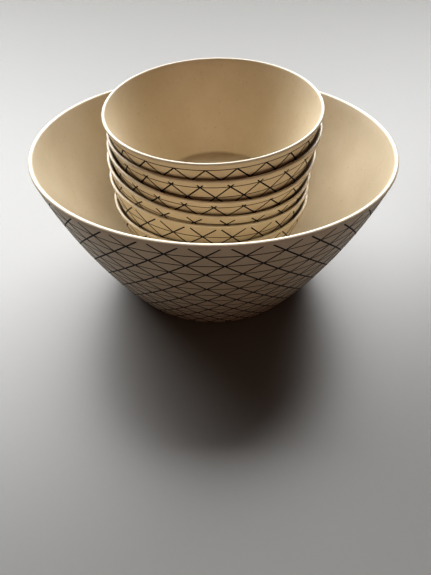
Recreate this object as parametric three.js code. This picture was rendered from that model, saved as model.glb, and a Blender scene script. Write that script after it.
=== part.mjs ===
// A large serving bowl with six small rice bowls nested in it as a leaning stack.
// Millimetres, +Z up. The origin is the middle of the serving bowl's foot, on the table.
import * as THREE from 'three';

// Driving dimensions. A wall bends inwards from its rim as
// radius = rimRadius - flare * depth - bow * depth^2.
const servingBowl = {
  rimRadius: 127.5,
  height: 115,
  flare: 0.2586,
  bow: 0.00158,
  wallAtRim: 3,
  wallAtHeel: 3.6,
  heelRadius: 6,
  floorThickness: 3.6,
  filletRadius: 4,
  segments: 48,
};
const riceBowl = {
  rimRadius: 74.2,
  height: 70,
  flare: 0.25,
  bow: 0.0023,
  wallAtRim: 2.2,
  wallAtHeel: 2.6,
  heelRadius: 5,
  floorThickness: 3.3,
  filletRadius: 2.5,
  segments: 36,
};
const footRecess = 1.4;
const footRingWidth = 5;
const wallSteps = 5;
const arcSteps = 3;

// The stack from the bottom up: each bowl's rim height, the place of its rim's middle
// (x to the right, y to the back) and its lean in degrees (right side up, back up).
const stack = [
  { rim: 75.5, x: -2.1, y: -3.1, rightUp: 0, backUp: 0 },
  { rim: 89.6, x: -2.6, y: -3.5, rightUp: -3.8, backUp: -1.1 },
  { rim: 102.5, x: -2.3, y: -3.3, rightUp: -5, backUp: 3.5 },
  { rim: 114.7, x: -0.8, y: -3, rightUp: -3.1, backUp: 5.5 },
  { rim: 127.8, x: 0.3, y: -3.5, rightUp: 1.3, backUp: 4.5 },
  { rim: 139.9, x: -0.7, y: -4, rightUp: 1.6, backUp: 5.2 },
];

const bambooFibre = { color: 0xcdbc98, roughness: 0.5, metalness: 0 };

// Points on an arc about (r, z), from one angle to another, both ends included.
function arc(r, z, radius, fromAngle, toAngle) {
  const points = [];
  for (let i = 0; i <= arcSteps; i += 1) {
    const angle = fromAngle + ((toAngle - fromAngle) * i) / arcSteps;
    points.push(new THREE.Vector2(r + radius * Math.cos(angle), z + radius * Math.sin(angle)));
  }
  return points;
}

const outerRadius = (bowl, depth) => bowl.rimRadius - bowl.flare * depth - bowl.bow * depth ** 2;
const wallAngle = (bowl, depth) => Math.atan(bowl.flare + 2 * bowl.bow * depth);

// A point inside the wall, at a share of the wall's thickness in from its outer face.
function wallPoint(bowl, depth, share) {
  const thickness = bowl.wallAtRim + (bowl.wallAtHeel - bowl.wallAtRim) * (depth / bowl.height);
  const angle = wallAngle(bowl, depth);
  return new THREE.Vector2(
    outerRadius(bowl, depth) - share * thickness * Math.cos(angle),
    bowl.height - depth + share * thickness * Math.sin(angle),
  );
}

// Depth at which an arc of the given radius, resting on a level, runs into a face of the wall.
function tangentDepth(bowl, level, radius, share) {
  let low = 0;
  let high = bowl.height;
  for (let i = 0; i < 40; i += 1) {
    const depth = (low + high) / 2;
    const centre = wallPoint(bowl, depth, share).y + radius * Math.sin(wallAngle(bowl, depth));
    if (centre > level + radius) low = depth;
    else high = depth;
  }
  return low;
}

// Half section of a bowl, from the axis under the foot, round the wall and rim, to the axis inside.
function section(bowl) {
  const lipRadius = bowl.wallAtRim / 2;
  const heelDepth = tangentDepth(bowl, 0, bowl.heelRadius, 0);
  const heelAngle = wallAngle(bowl, heelDepth);
  const heelTop = wallPoint(bowl, heelDepth, 0);
  const heelMiddle = heelTop.x - bowl.heelRadius * Math.cos(heelAngle);
  const points = [
    new THREE.Vector2(0, footRecess),
    new THREE.Vector2(heelMiddle - footRingWidth - footRecess, footRecess),
    new THREE.Vector2(heelMiddle - footRingWidth, 0),
  ];
  points.push(...arc(heelMiddle, bowl.heelRadius, bowl.heelRadius, -Math.PI / 2, -heelAngle));

  for (let i = 1; i < wallSteps; i += 1) {
    points.push(wallPoint(bowl, heelDepth + ((lipRadius - heelDepth) * i) / wallSteps, 0));
  }

  const lipAngle = wallAngle(bowl, lipRadius);
  const lip = wallPoint(bowl, lipRadius, 0.5);
  points.push(...arc(lip.x, bowl.height - lipRadius, lipRadius, -lipAngle, Math.PI - lipAngle));

  const floor = footRecess + bowl.floorThickness;
  const filletDepth = tangentDepth(bowl, floor, bowl.filletRadius, 1);
  const filletAngle = wallAngle(bowl, filletDepth);
  for (let i = 1; i < wallSteps; i += 1) {
    points.push(wallPoint(bowl, lipRadius + ((filletDepth - lipRadius) * i) / wallSteps, 1));
  }
  const filletTop = wallPoint(bowl, filletDepth, 1);
  const filletMiddle = filletTop.x - bowl.filletRadius * Math.cos(filletAngle);
  points.push(
    ...arc(filletMiddle, floor + bowl.filletRadius, bowl.filletRadius, -filletAngle, -Math.PI / 2),
    new THREE.Vector2(0, floor),
  );
  return points;
}

// One moulded bowl, standing on its foot with its axis up.
function makeBowl(name, bowl) {
  const geometry = new THREE.LatheGeometry(section(bowl), bowl.segments);
  geometry.rotateX(Math.PI / 2);
  const mesh = new THREE.Mesh(geometry, new THREE.MeshStandardMaterial(bambooFibre));
  mesh.name = name;
  return mesh;
}

// A bowl of the stack: it leans about the middle of its rim.
function placeInStack(place, index) {
  const mesh = makeBowl(`rice_bowl_${index + 1}`, riceBowl);
  mesh.position.z = -riceBowl.height;
  const lean = new THREE.Group();
  lean.add(mesh);
  lean.position.set(place.x, place.y, place.rim);
  lean.rotation.x = THREE.MathUtils.degToRad(place.backUp);
  lean.rotation.y = -THREE.MathUtils.degToRad(place.rightUp);
  return lean;
}

const group = new THREE.Group();
group.add(makeBowl('serving_bowl', servingBowl));
stack.forEach((place, index) => group.add(placeInStack(place, index)));

export default group;
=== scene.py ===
"""A set of printed bamboo-fibre rice bowls nested in their serving bowl, on a pale studio floor."""

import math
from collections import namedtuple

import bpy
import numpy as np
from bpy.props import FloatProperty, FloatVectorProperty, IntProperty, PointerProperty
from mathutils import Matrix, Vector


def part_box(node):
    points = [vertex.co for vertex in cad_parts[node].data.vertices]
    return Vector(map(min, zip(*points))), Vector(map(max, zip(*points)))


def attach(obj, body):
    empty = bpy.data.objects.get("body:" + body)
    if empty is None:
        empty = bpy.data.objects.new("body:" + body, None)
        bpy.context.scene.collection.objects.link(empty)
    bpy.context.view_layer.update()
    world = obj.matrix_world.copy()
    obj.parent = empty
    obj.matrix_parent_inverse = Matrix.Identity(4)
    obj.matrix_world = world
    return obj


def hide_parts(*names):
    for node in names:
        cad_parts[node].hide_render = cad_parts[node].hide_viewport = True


bl_info = {
    "name": "Nested Rice Bowls",
    "version": (1, 0, 0),
    "blender": (4, 5, 0),
    "location": "View3D > Sidebar > Bowls",
    "description": "Builds a serving bowl, the rice bowls nested in it, their printed lattice and a stage",
    "category": "Object",
}

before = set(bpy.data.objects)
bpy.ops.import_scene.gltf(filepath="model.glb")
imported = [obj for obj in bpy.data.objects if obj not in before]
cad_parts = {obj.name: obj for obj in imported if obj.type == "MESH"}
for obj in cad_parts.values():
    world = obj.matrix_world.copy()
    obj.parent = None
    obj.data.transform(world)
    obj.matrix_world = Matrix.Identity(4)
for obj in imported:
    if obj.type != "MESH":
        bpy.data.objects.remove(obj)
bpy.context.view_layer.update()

SERVING_BOWL = "serving_bowl"
RICE_BOWLS = sorted(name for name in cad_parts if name.startswith("rice_bowl"))

# How the printed sheet sits on each bowl: its turn about the bowl in degrees, the depth of its cut
# edge below the rim, the share of a row that shows above the first crossings, how far the sheet
# dips on the left side, and how much wider its cells are on one side than on average.
Sheet = namedtuple("Sheet", "turn margin start dip stretch")
SHEETS = {
    "serving_bowl": Sheet(-2, 0.0028, 0.75, 0, 0),
    "rice_bowl_1": Sheet(284.6, 0.0028, 0.9, 0, 0.08),
    "rice_bowl_2": Sheet(293.1, 0.0028, 0.82, 0, 0.08),
    "rice_bowl_3": Sheet(8.9, 0.0028, 0.46, 0, 0.08),
    "rice_bowl_4": Sheet(125, 0.0028, 0.18, 0.0016, 0.08),
    "rice_bowl_5": Sheet(145.9, 0.0029, 0.2, 0, 0.08),
    "rice_bowl_6": Sheet(233, 0.0046, 0, 0, 0.08),
}
FRONT = math.radians(-90)
DOWN = math.radians(-90)

# The stage: half the floor's side, the pale tone in its grain, and the faint warm light of the room.
FLOOR_HALF = 4
FLOOR_GRAIN = (0.3, 0.3, 0.295)
ROOM_TINT = (1, 0.78, 0.62, 1)
ROOM_GLOW = 0.05

# The camera: its lens and sensor in millimetres, its place in metres and how many degrees it looks down.
LENS = 26.92
SENSOR = 36
CAMERA_ASIDE = 0.0013
CAMERA_BACK = 0.2974
CAMERA_ABOVE_RIM = 0.1341
LOOKS_DOWN = 43.76


def length(name, description, default):
    """A size that the sidebar shows in the scene's units."""
    return FloatProperty(
        name=name, description=description, default=default,
        min=0, precision=4, subtype="DISTANCE", unit="LENGTH",
    )


def flare(default):
    """How far a wall leans out at its rim."""
    description = "Lean of the wall at the rim, per unit of rise"
    return FloatProperty(name="Flare", description=description, default=default)


def bow(default):
    """How fast a wall turns in below its rim."""
    description = "How fast the wall turns in below the rim, per metre"
    return FloatProperty(name="Bow", description=description, default=default)


def colour(name, description, default):
    """A linear colour with a picker in the sidebar."""
    return FloatVectorProperty(
        name=name, description=description, default=default, min=0, max=1, size=3, subtype="COLOR"
    )


class ServingBowlShape(bpy.types.PropertyGroup):
    flare: flare(0.2586)
    bow: bow(1.58)
    rim_wall: length("Wall at rim", "Thickness of the wall at the rim", 0.003)
    heel_wall: length("Wall at heel", "Thickness of the wall at the foot", 0.0036)
    floor_wall: length("Floor", "Thickness of the floor", 0.0036)
    heel_radius: length("Heel radius", "Outside radius where the wall meets the foot", 0.006)
    fillet_radius: length("Fillet radius", "Inside radius where the wall meets the floor", 0.004)
    cells: IntProperty(name="Cells", description="Lattice cells round the bowl", default=36, min=3)


class RiceBowlShape(bpy.types.PropertyGroup):
    flare: flare(0.25)
    bow: bow(2.3)
    rim_wall: length("Wall at rim", "Thickness of the wall at the rim", 0.0022)
    heel_wall: length("Wall at heel", "Thickness of the wall at the foot", 0.0026)
    floor_wall: length("Floor", "Thickness of the floor", 0.0033)
    heel_radius: length("Heel radius", "Outside radius where the wall meets the foot", 0.005)
    fillet_radius: length("Fillet radius", "Inside radius where the wall meets the floor", 0.0025)
    cells: IntProperty(name="Cells", description="Lattice cells round the bowl", default=24, min=3)


class FootShape(bpy.types.PropertyGroup):
    recess: length("Recess", "Depth of the hollow under the foot", 0.0014)
    ring: length("Ring", "Width of the flat ring that a bowl stands on", 0.005)
    step: length("Mould step", "Height of the fine step that the mould leaves under the foot", 0.0003)


class PrintShape(bpy.types.PropertyGroup):
    row: length("Row", "Distance between lattice rows along the wall", 0.0092)
    bold: length("Bold line", "Width of the black diagonals", 0.00092)
    thin: length("Thin line", "Width of the brown rings", 0.0006)
    ink: length("Ink", "Thickness of a printed line", 0.00006)


class BowlColours(bpy.types.PropertyGroup):
    fibre: colour("Fibre", "Main colour of the moulded fibre", (0.70, 0.60, 0.43))
    # The pale colour serves the lighter clouds and also the painted highlight on the lip of every bowl.
    pale: colour("Pale fibre", "Colour of the lighter clouds and the polished rim", (0.80, 0.72, 0.57))
    deep: colour("Deep fibre", "Colour of the darker clouds", (0.60, 0.49, 0.33))
    fleck: colour("Fleck", "Colour of the bamboo flecks", (0.22, 0.13, 0.06))
    black: colour("Black ink", "Colour of the diagonals", (0.009, 0.008, 0.008))
    brown: colour("Brown ink", "Colour of the rings", (0.06, 0.036, 0.024))
    floor: colour("Studio floor", "Colour of the floor", (0.2, 0.2, 0.195))


class BowlSettings(bpy.types.PropertyGroup):
    serving: PointerProperty(type=ServingBowlShape)
    rice: PointerProperty(type=RiceBowlShape)
    foot: PointerProperty(type=FootShape)
    lines: PointerProperty(type=PrintShape)
    colours: PointerProperty(type=BowlColours)


# ---------------------------------------------------------------- the shape of a bowl


class Seat:
    """Where a bowl stands: its own frame, the radius of its widest point and its height."""

    def __init__(self, node, turn):
        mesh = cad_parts[node].data
        points = np.empty(len(mesh.vertices) * 3)
        mesh.vertices.foreach_get("co", points)
        points = np.unique(points.reshape(-1, 3).round(6), axis=0)
        middle = points.mean(axis=0)
        directions = np.linalg.eigh(np.cov((points - middle).T))[1].T
        axis = max(directions, key=lambda direction: abs(direction[2]))
        axis = axis * np.sign(axis[2])
        along = (points - middle) @ axis
        across = np.linalg.norm(points - middle - along[:, None] * axis, axis=1)
        self.height = float(along.max() - along.min())
        self.widest = float(across.max())
        up = Vector(axis)
        right = (Vector((1, 0, 0)) - up * up.x).normalized()
        frame_of_bowl = Matrix((right, up.cross(right), up)).transposed().to_4x4()
        frame_of_bowl.translation = Vector(middle + axis * along.min())
        self.matrix = frame_of_bowl @ Matrix.Rotation(math.radians(turn), 4, "Z")


class Wall:
    """The section of one bowl. Its outer face has radius = rim - flare * depth - bow * depth squared."""

    steps = 16
    arc_steps = 7
    bisections = 40
    samples = 400
    # Places on the flat faces, as shares of their radius: the mould step, the recess, the floor.
    step_share = 0.45
    flat_share = 0.8
    floor_shares = (0.85, 0.5, 0)

    def __init__(self, shape, foot, seat):
        self.shape = shape
        self.foot = foot
        self.height = seat.height
        self.lip = shape.rim_wall / 2
        lip_bulge = self.lip * (1 - math.cos(math.atan(shape.flare)))
        self.rim = seat.widest + shape.flare * self.lip + shape.bow * self.lip**2 - lip_bulge
        self.heel_depth = self.run_in(0, shape.heel_radius, 0)
        self.heel_middle = self.arc_middle(self.heel_depth, shape.heel_radius, 0)

    def radius(self, depth):
        """Radius of the outer face at a depth below the rim."""
        return self.rim - self.shape.flare * depth - self.shape.bow * depth**2

    def angle(self, depth):
        """How far the wall leans out at a depth, as an angle from upright."""
        return np.arctan(self.shape.flare + 2 * self.shape.bow * depth)

    def face(self, depth, share):
        """Radius and height of a point in the wall: share 0 is its outer face and 1 its inner face."""
        thickness = self.shape.rim_wall + (self.shape.heel_wall - self.shape.rim_wall) * depth / self.height
        angle = self.angle(depth)
        inward = share * thickness
        return (self.radius(depth) - inward * math.cos(angle), self.height - depth + inward * math.sin(angle))

    def run_in(self, level, radius, share):
        """The depth at which an arc that rests on a level runs into a face of the wall."""
        low, high = 0, self.height
        for _ in range(self.bisections):
            depth = (low + high) / 2
            if self.face(depth, share)[1] + radius * math.sin(self.angle(depth)) > level + radius:
                low = depth
            else:
                high = depth
        return low

    def arc_middle(self, depth, radius, share):
        """Radius of the middle of an arc that runs into a face of the wall at a depth."""
        return self.face(depth, share)[0] - radius * math.cos(self.angle(depth))

    def arc(self, middle, radius, start, end):
        """Points on an arc in the section, both ends included."""
        angles = np.linspace(start, end, self.arc_steps + 1)
        return [(middle[0] + radius * math.cos(a), middle[1] + radius * math.sin(a)) for a in angles]

    def under_foot(self):
        """From the axis out to the flat ring, with the fine step that the mould leaves."""
        foot = self.foot
        inner = self.heel_middle - foot.ring - foot.recess
        step_out = inner * self.step_share
        return [
            (0, foot.recess),
            (step_out - 2 * foot.step, foot.recess),
            (step_out, foot.recess - foot.step),
            (step_out + 4 * foot.step, foot.recess - foot.step),
            (step_out + 6 * foot.step, foot.recess),
            (inner * self.flat_share, foot.recess),
            (inner - foot.step, foot.recess),
            (inner + foot.step, foot.recess - foot.step),
            (inner + foot.recess - foot.step, foot.step),
            (inner + foot.recess + foot.step, 0),
        ]

    def section(self):
        """Radius and height of each point, from the axis under the foot, over the rim, to the axis inside."""
        shape = self.shape
        points = self.under_foot()
        heel_angle = self.angle(self.heel_depth)
        heel_middle = (self.heel_middle, shape.heel_radius)
        points += self.arc(heel_middle, shape.heel_radius, DOWN, -heel_angle)
        points += [self.face(d, 0) for d in np.linspace(self.heel_depth, self.lip, self.steps + 1)[1:-1]]

        lip_angle = self.angle(self.lip)
        lip_middle = (self.face(self.lip, 0.5)[0], self.height - self.lip)
        points += self.arc(lip_middle, self.lip, -lip_angle, math.pi - lip_angle)

        level = self.foot.recess + shape.floor_wall
        fillet = shape.fillet_radius
        fillet_depth = self.run_in(level, fillet, 1)
        points += [self.face(d, 1) for d in np.linspace(self.lip, fillet_depth, self.steps + 1)[1:-1]]
        fillet_middle = (self.arc_middle(fillet_depth, fillet, 1), level + fillet)
        points += self.arc(fillet_middle, fillet, -self.angle(fillet_depth), DOWN)
        points += [(fillet_middle[0] * share, level) for share in self.floor_shares]
        return points

    def depth_at(self, run):
        """The depth below the rim of a point that lies that far down the wall, measured along it."""
        depths = np.linspace(0, self.height, self.samples)
        runs = np.concatenate(([0], np.cumsum(np.hypot(np.diff(depths), np.diff(self.radius(depths))))))
        return np.interp(run, runs, depths)

    def run_at(self, depth):
        """How far down the wall a depth lies, measured along it."""
        depths = np.linspace(0, depth, self.samples // 2)
        return float(np.hypot(np.diff(depths), np.diff(self.radius(depths))).sum())

    def places(self, run, azimuth):
        """Points on the outer face and the directions that face out of it, as two arrays."""
        depth = self.depth_at(run)
        angle = self.angle(depth)
        east, north = np.cos(azimuth), np.sin(azimuth)
        out = np.stack((east * np.cos(angle), north * np.cos(angle), -np.sin(angle)), axis=-1)
        radius = self.radius(depth)
        points = np.stack((radius * east, radius * north, self.height - depth), axis=-1)
        return points, out


def add_mesh(name, points, faces, seat):
    """A smooth mesh object that stands in a bowl's own frame."""
    mesh = bpy.data.meshes.new(name)
    mesh.from_pydata([tuple(point) for point in points], [], faces)
    mesh.validate()
    mesh.shade_smooth()
    piece = bpy.data.objects.new(name, mesh)
    bpy.context.scene.collection.objects.link(piece)
    piece.matrix_world = seat.matrix
    return piece


def turned(name, section, segments, seat):
    """A section, with both its ends on the bowl's axis, turned about it into one closed body."""
    ring = section[1:-1]
    turns = np.arange(segments) * 2 * math.pi / segments
    points = [(0, 0, section[0][1])]
    points += [(r * math.cos(a), r * math.sin(a), z) for r, z in ring for a in turns]
    points.append((0, 0, section[-1][1]))
    top = len(points) - 1
    last = 1 + (len(ring) - 1) * segments
    faces = []
    for i in range(segments):
        j = (i + 1) % segments
        faces.append((0, 1 + j, 1 + i))
        for low in range(1, last, segments):
            high = low + segments
            faces.append((low + i, low + j, high + j, high + i))
        faces.append((last + i, last + j, top))
    return add_mesh(name, points, faces, seat)


def strip(points, out, width, ink, closed):
    """One printed line as a closed body: four points at each place, sunk a little into the wall."""
    if closed:
        ahead = np.roll(points, -1, axis=0) - np.roll(points, 1, axis=0)
    else:
        ahead = np.gradient(points, axis=0)
    side = np.cross(ahead, out)
    side /= np.linalg.norm(side, axis=1)[:, None]
    half = side * width / 2
    corners = np.stack((points - half - out * ink, points + half - out * ink,
                        points + half + out * ink, points - half + out * ink), axis=1)
    count = len(points)
    faces = []
    for i in range(count if closed else count - 1):
        here, there = 4 * i, 4 * ((i + 1) % count)
        faces += [(here + k, here + (k + 1) % 4, there + (k + 1) % 4, there + k) for k in range(4)]
    if not closed:
        end = 4 * (count - 1)
        faces += [(3, 2, 1, 0), (end, end + 1, end + 2, end + 3)]
    return corners.reshape(-1, 3), faces


def join_strips(name, strips, seat):
    """All the printed lines of one colour as one object."""
    points = []
    faces = []
    for strip_points, strip_faces in strips:
        base = len(points)
        points += list(strip_points)
        faces += [tuple(base + i for i in face) for face in strip_faces]
    return add_mesh(name, points, faces, seat)


class Lattice:
    """The lattice on one bowl: black diagonals through points half a cell apart on each brown ring."""

    steps_in_row = 3
    # Diagonals lie over the rings, and one way over the other, as multiples of the ink's thickness.
    over = 1.3
    under = 1.15

    def __init__(self, wall, sheet, lines):
        self.wall = wall
        self.sheet = sheet
        self.lines = lines
        self.cell = 2 * math.pi / wall.shape.cells
        self.segments = self.segments_round(wall)
        self.first_row = sheet.margin + sheet.start * lines.row
        self.bottom = wall.run_at(wall.heel_depth)

    @classmethod
    def segments_round(cls, wall):
        """Segments round a bowl, so that the shell and the print meet at the same corners."""
        return wall.shape.cells * 2 * cls.steps_in_row

    def dip(self, azimuth):
        """How much further down the wall the sheet sits at an azimuth."""
        left = math.pi - math.radians(self.sheet.turn)
        return self.sheet.dip * np.cos(azimuth - left)

    def across(self, cell):
        """The azimuth of a place on the sheet, counted in cells."""
        turn = np.asarray(cell) * self.cell
        return FRONT + turn + self.sheet.stretch * np.sin(turn)

    def diagonal(self, cell, slope):
        """One line from the cut edge down to the heel. A slope of 1 turns it one way and -1 the other."""
        row = self.lines.row
        start = -self.sheet.start
        for _ in range(4):
            azimuth = self.across(cell + slope * start / 2)
            start = (self.sheet.margin - self.first_row - self.dip(azimuth)) / row
        end = (self.bottom - self.first_row) / row
        steps = self.steps_in_row
        whole = np.arange(math.ceil(start * steps + 0.01), end * steps) / steps
        rows = np.concatenate(([start], whole, [end]))
        azimuth = self.across(cell + slope * rows / 2)
        run = self.first_row + rows * row + self.dip(azimuth)
        ink = self.lines.ink * (self.over if slope > 0 else self.under)
        return strip(*self.wall.places(run, azimuth), self.lines.bold, ink, False)

    def ring(self, index):
        """One brown ring round the bowl."""
        azimuth = FRONT + np.arange(self.segments) * 2 * math.pi / self.segments
        run = self.first_row + index * self.lines.row + self.dip(azimuth)
        return strip(*self.wall.places(run, azimuth), self.lines.thin, self.lines.ink, True)

    def diagonals(self):
        """Every diagonal, one each way from each cell."""
        return [self.diagonal(cell, slope) for cell in range(self.wall.shape.cells) for slope in (1, -1)]

    def rings(self):
        """Every ring from the first crossings down to the heel."""
        rows = int((self.bottom - self.first_row) / self.lines.row)
        return [self.ring(index) for index in range(rows + 1)]


# ---------------------------------------------------------------- materials


class Value:
    """A node's output, on which arithmetic adds Math nodes."""

    def __init__(self, shader, socket):
        self.shader = shader
        self.socket = socket

    def math(self, operation, first, second):
        return self.shader.node("ShaderNodeMath", {"operation": operation}, {0: first, 1: second})

    def __add__(self, other):
        return self.math("ADD", self, other)

    def __radd__(self, other):
        return self.math("ADD", other, self)

    def __sub__(self, other):
        return self.math("SUBTRACT", self, other)

    def __rsub__(self, other):
        return self.math("SUBTRACT", other, self)

    def __mul__(self, other):
        return self.math("MULTIPLY", self, other)

    def __rmul__(self, other):
        return self.math("MULTIPLY", other, self)

    def __gt__(self, other):
        return self.math("GREATER_THAN", self, other)


class Shader:
    """A material and its node tree, ending in a Principled shader."""

    def __init__(self, name):
        self.material = bpy.data.materials.new(name)
        self.material.use_nodes = True
        self.tree = self.material.node_tree
        self.tree.nodes.clear()

    def node(self, kind, settings=None, inputs=None, output=0):
        """Adds a node: its settings first, then the values or links of its sockets."""
        node = self.tree.nodes.new(kind)
        for key, value in (settings or {}).items():
            if key == "stops":
                self.set_stops(node.color_ramp, value)
            else:
                setattr(node, key, value)
        for key, value in (inputs or {}).items():
            if isinstance(value, Value):
                self.tree.links.new(value.socket, node.inputs[key])
            else:
                node.inputs[key].default_value = value
        return Value(self, node.outputs[output])

    def set_stops(self, ramp, stops):
        while len(ramp.elements) < len(stops):
            ramp.elements.new(1)
        for element, (position, level) in zip(ramp.elements, stops):
            element.position = position
            element.color = (level, level, level, 1)

    def ramp(self, value, *stops):
        return self.node("ShaderNodeValToRGB", {"stops": stops}, {0: value})

    def noise(self, place, scale, detail=2.0, roughness=0.5, distortion=0.0, output=0):
        """Soft noise: output 0 is its value and output 1 its colour."""
        inputs = {"Vector": place, "Scale": scale, "Detail": detail}
        inputs.update({"Roughness": roughness, "Distortion": distortion})
        return self.node("ShaderNodeTexNoise", None, inputs, output)

    def vector_math(self, operation, inputs):
        return self.node("ShaderNodeVectorMath", {"operation": operation}, inputs)

    def map_range(self, value, low, high):
        """A smooth step from 0 at the low level to 1 at the high one."""
        levels = {0: value, 1: low, 2: high, 3: 0.0, 4: 1.0}
        return self.node("ShaderNodeMapRange", {"interpolation_type": "SMOOTHSTEP"}, levels)

    def flecks(self, place, scale, radius, rarity):
        """Scattered specks with ragged edges: 1 inside a speck and 0 elsewhere."""
        wander = self.vector_math("SCALE", {0: self.noise(place, 2 * scale, 1, output=1), 3: 0.5 / scale})
        ragged = self.vector_math("ADD", {0: place, 1: wander})
        cells = {"Vector": ragged, "Scale": scale, "Randomness": 1.0}
        distance = self.node("ShaderNodeTexVoronoi", None, cells, 0)
        near = self.ramp(distance, (radius * 0.6, 1), (radius * 1.3, 0))
        chance = self.node("ShaderNodeTexVoronoi", None, cells, 1)
        return near * (self.node("ShaderNodeSeparateColor", None, {0: chance}, 0) > rarity)

    def mix(self, share, first, second):
        """A colour between two colours."""
        sockets = {0: share, 6: opaque(first), 7: opaque(second)}
        return self.node("ShaderNodeMix", {"data_type": "RGBA"}, sockets, 2)

    def finish(self, **inputs):
        """Ends the tree in a Principled shader and gives back the material."""
        named = {key.replace("_", " ").title().replace("Ior", "IOR"): value for key, value in inputs.items()}
        surface = self.node("ShaderNodeBsdfPrincipled", None, named)
        output = self.tree.nodes.new("ShaderNodeOutputMaterial")
        self.tree.links.new(surface.socket, output.inputs["Surface"])
        return self.material


def opaque(value):
    """A colour with full alpha, or a node's output as it is."""
    return value if isinstance(value, Value) else (*value, 1)


def isolines(shader, field, half_width):
    """Fine lines along one level of a soft field, like loose fibres: 1 on a line and 0 away from it."""
    away = shader.node("ShaderNodeMath", {"operation": "ABSOLUTE"}, {0: field - 0.5})
    return shader.ramp(away, (0, 1), (half_width, 0))


def fibre_material(name, colours, wall):
    """Moulded bamboo fibre: soft clouds, fine grain, loose fibres and flecks, and a painted highlight that
    makes the lip pale all round, where the fibre is also polished smoother.
    """
    shader = Shader(name)
    place = shader.node("ShaderNodeTexCoord", None, None, 3)
    height = shader.node("ShaderNodeSeparateXYZ", None, {0: place}, 2)

    soft = shader.noise(place, scale=38, detail=4, roughness=0.55, distortion=0.3)
    clouds = shader.ramp(soft, (0.3, 0), (0.7, 1))
    grain = shader.noise(place, scale=900, detail=3, roughness=0.6)
    dust = shader.noise(place, scale=2600, detail=2, roughness=0.6)
    powder = shader.ramp(dust, (0.35, 0), (0.65, 1))
    tone = shader.mix(clouds * 0.55 + grain * 0.3, colours.deep, colours.pale)
    tone = shader.mix(0.45, colours.fibre, tone)
    tone = shader.mix(powder * 0.16, tone, colours.deep)

    strands = shader.noise(place, scale=210, detail=1, roughness=0.5, distortion=1.6)
    threads = isolines(shader, strands, half_width=0.012)
    threads = threads * shader.ramp(shader.noise(place, scale=330, detail=1), (0.52, 0), (0.6, 1))
    tone = shader.mix(threads * 0.3, tone, colours.fleck)

    fine_flecks = shader.flecks(place, scale=620, radius=0.16, rarity=0.93)
    pale_flecks = shader.flecks(place, scale=520, radius=0.2, rarity=0.9)
    large_flecks = shader.flecks(place, scale=190, radius=0.1, rarity=0.84)
    tone = shader.mix(fine_flecks * 0.4, tone, colours.fleck)
    tone = shader.mix(pale_flecks * 0.4, tone, colours.pale)
    tone = shader.mix(large_flecks * 0.4, tone, colours.fleck)

    # Painted highlight: the lip is painted pale all round, as if lit. The same mask also makes the lip
    # smoother.
    rim = shader.map_range(height, wall.height - 1.1 * wall.lip, wall.height - 0.4 * wall.lip)
    tone = shader.mix(rim * (0.75 + grain * 0.2), tone, colours.pale)

    rubbed = shader.noise(place, scale=60, detail=3, roughness=0.6, distortion=2.5)
    scuffs = isolines(shader, rubbed, half_width=0.01)
    rough = 0.41 + clouds * 0.05 + grain * 0.08 + scuffs * 0.07 - rim * 0.12
    relief = grain * 0.6 + shader.noise(place, scale=300, detail=2) * 0.8 + threads * 0.15
    normal = shader.node("ShaderNodeBump", None, {"Strength": 0.12, "Distance": 0.00018, "Height": relief})
    return shader.finish(
        base_color=tone, roughness=rough, normal=normal, ior=1.5, specular_ior_level=0.6,
        coat_weight=0.3, coat_roughness=0.3,
    )


def ink_material(name, ink, colours, wear):
    """Printed ink: slightly uneven cover, so a little of the bowl shows through where it is thin."""
    shader = Shader(name)
    place = shader.node("ShaderNodeTexCoord", None, None, 3)
    cover = shader.noise(place, scale=1500, detail=3, roughness=0.65)
    thin = shader.ramp(cover, (0.6, 0), (0.78, 1))
    patches = shader.ramp(shader.noise(place, scale=90, detail=2), (0.45, 0.25), (0.7, 1))
    tone = shader.mix(thin * patches * wear, ink, colours.deep)
    rough = 0.5 + cover * 0.14
    return shader.finish(base_color=tone, roughness=rough, ior=1.5, specular_ior_level=0.25)


def floor_material(colours):
    """A matt pale studio floor with a very faint grain."""
    shader = Shader("studio_floor")
    place = shader.node("ShaderNodeTexCoord", None, None, 3)
    grain = shader.noise(place, scale=260, detail=3, roughness=0.6)
    tone = shader.mix(grain * 0.1, colours.floor, FLOOR_GRAIN)
    return shader.finish(base_color=tone, roughness=0.38 + grain * 0.1, ior=1.45, specular_ior_level=0.95)


# ---------------------------------------------------------------- building


def shape_of(node):
    """The sizes of the bowl that a node stands for."""
    settings = bpy.context.scene.rice_bowls
    return settings.serving if node == SERVING_BOWL else settings.rice


def wall_of(node):
    """The wall of a bowl and the frame that it stands in."""
    seat = Seat(node, SHEETS[node].turn)
    return Wall(shape_of(node), bpy.context.scene.rice_bowls.foot, seat), seat


def put_on(piece, material, body):
    """Gives a piece its material and the body that it moves with."""
    piece.data.materials.append(material)
    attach(piece, body)


def build_bowl(node, material_name):
    """Moulds one bowl, which stands for its node of the frame."""
    settings = bpy.context.scene.rice_bowls
    wall, seat = wall_of(node)
    shell = turned(node + "_shell", wall.section(), Lattice.segments_round(wall), seat)
    material = bpy.data.materials.get(material_name) or fibre_material(material_name, settings.colours, wall)
    put_on(shell, material, node)
    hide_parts(node)


def print_bowl(node):
    """Prints the lattice on one bowl, as one object for each ink."""
    settings = bpy.context.scene.rice_bowls
    colours = settings.colours
    wall, seat = wall_of(node)
    lattice = Lattice(wall, SHEETS[node], settings.lines)
    black = bpy.data.materials.get("black_ink") or ink_material(
        "black_ink", colours.black, colours, wear=0.2
    )
    brown = bpy.data.materials.get("brown_ink") or ink_material(
        "brown_ink", colours.brown, colours, wear=0.45
    )
    put_on(join_strips(node + "_diagonals", lattice.diagonals(), seat), black, node)
    put_on(join_strips(node + "_rings", lattice.rings(), seat), brown, node)


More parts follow.
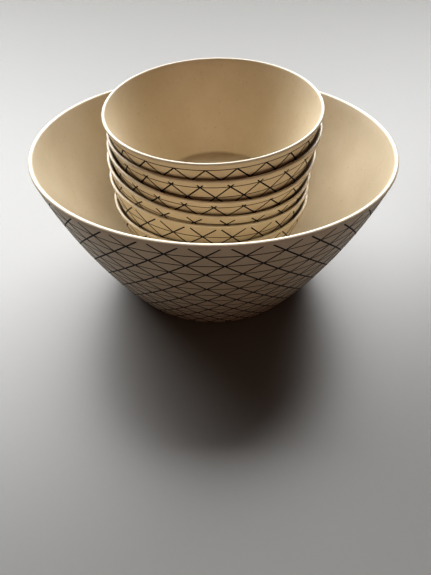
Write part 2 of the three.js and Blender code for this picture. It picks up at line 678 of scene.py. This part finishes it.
class BOWLS_OT_serving_bowl(bpy.types.Operator):
    """Mould the serving bowl"""

    bl_idname = "bowls.serving_bowl"
    bl_label = "Serving Bowl"

    def execute(self, context):
        build_bowl(SERVING_BOWL, "serving_bowl_fibre")
        return {"FINISHED"}


class BOWLS_OT_rice_bowls(bpy.types.Operator):
    """Mould the rice bowls that nest in the serving bowl"""

    bl_idname = "bowls.rice_bowls"
    bl_label = "Rice Bowls"

    def execute(self, context):
        for node in RICE_BOWLS:
            build_bowl(node, "rice_bowl_fibre")
        return {"FINISHED"}


class BOWLS_OT_lattice(bpy.types.Operator):
    """Print the lattice of black diagonals and brown rings on every bowl"""

    bl_idname = "bowls.lattice"
    bl_label = "Printed Lattice"

    def execute(self, context):
        for node in [SERVING_BOWL, *RICE_BOWLS]:
            print_bowl(node)
        return {"FINISHED"}


def add_light(name, place, target, size, power, tint):
    """A soft rectangular lamp that faces a point."""
    lamp = bpy.data.lights.new(name, "AREA")
    lamp.shape = "RECTANGLE"
    lamp.size, lamp.size_y = size
    lamp.energy = power
    lamp.color = tint
    holder = bpy.data.objects.new(name, lamp)
    holder.location = place
    holder.rotation_euler = (Vector(target) - Vector(place)).to_track_quat("-Z", "Y").to_euler()
    bpy.context.scene.collection.objects.link(holder)


class BOWLS_OT_stage(bpy.types.Operator):
    """Set up the pale floor, the soft window light and the camera"""

    bl_idname = "bowls.stage"
    bl_label = "Stage"

    def execute(self, context):
        self.add_floor(context)
        self.add_lights(context)
        self.add_camera(context)
        return {"FINISHED"}

    def add_floor(self, context):
        mesh = bpy.data.meshes.new("floor")
        corners = [(x * FLOOR_HALF, y * FLOOR_HALF, 0) for x, y in ((-1, -1), (1, -1), (1, 1), (-1, 1))]
        mesh.from_pydata(corners, [], [(0, 1, 2, 3)])
        floor = bpy.data.objects.new("floor", mesh)
        floor.data.materials.append(floor_material(context.scene.rice_bowls.colours))
        context.scene.collection.objects.link(floor)

    def add_lights(self, context):
        add_light(
            "window", place=(-1.3, 2.5, 3.3), target=(-1.3, 0, 2.9), size=(7, 4.2), power=630, tint=(1, 1, 1)
        )
        add_light(
            "room_fill", place=(0.2, -1.6, 0.8), target=(0, 0, 0.05), size=(2, 1.3), power=1.9,
            tint=(1, 0.46, 0.34),
        )
        world = bpy.data.worlds.new("studio")
        world.use_nodes = True
        background = world.node_tree.nodes["Background"]
        background.inputs["Color"].default_value = ROOM_TINT
        background.inputs["Strength"].default_value = ROOM_GLOW
        context.scene.world = world
        context.scene.view_settings.view_transform = "Standard"
        context.scene.view_settings.look = "Medium High Contrast"

    def add_camera(self, context):
        camera = bpy.data.objects.new("camera", bpy.data.cameras.new("camera"))
        camera.data.lens = LENS
        camera.data.sensor_width = SENSOR
        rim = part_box(SERVING_BOWL)[1].z
        camera.location = (CAMERA_ASIDE, -CAMERA_BACK, rim + CAMERA_ABOVE_RIM)
        camera.rotation_euler = (math.radians(90 - LOOKS_DOWN), 0, 0)
        context.scene.collection.objects.link(camera)
        context.scene.camera = camera


class BOWLS_PT_panel(bpy.types.Panel):
    """Buttons that build the bowls, with their main sizes and colours"""

    bl_idname = "BOWLS_PT_panel"
    bl_label = "Nested Rice Bowls"
    bl_space_type = "VIEW_3D"
    bl_region_type = "UI"
    bl_category = "Bowls"

    def draw(self, context):
        layout = self.layout
        settings = context.scene.rice_bowls
        for operator in OPERATORS:
            layout.operator(operator.bl_idname)
        for group in (settings.serving, settings.rice, settings.foot, settings.lines, settings.colours):
            box = layout.box()
            for name in group.__annotations__:
                box.prop(group, name)


SETTINGS = (ServingBowlShape, RiceBowlShape, FootShape, PrintShape, BowlColours, BowlSettings)
OPERATORS = (BOWLS_OT_stage, BOWLS_OT_serving_bowl, BOWLS_OT_rice_bowls, BOWLS_OT_lattice)


def register():
    for cls in (*SETTINGS, *OPERATORS, BOWLS_PT_panel):
        bpy.utils.register_class(cls)
    bpy.types.Scene.rice_bowls = PointerProperty(type=BowlSettings)


def unregister():
    del bpy.types.Scene.rice_bowls
    for cls in reversed((*SETTINGS, *OPERATORS, BOWLS_PT_panel)):
        bpy.utils.unregister_class(cls)


def main():
    register()
    bpy.ops.bowls.stage()
    bpy.ops.bowls.serving_bowl()
    bpy.ops.bowls.rice_bowls()
    bpy.ops.bowls.lattice()


if __name__ == "__main__":
    main()
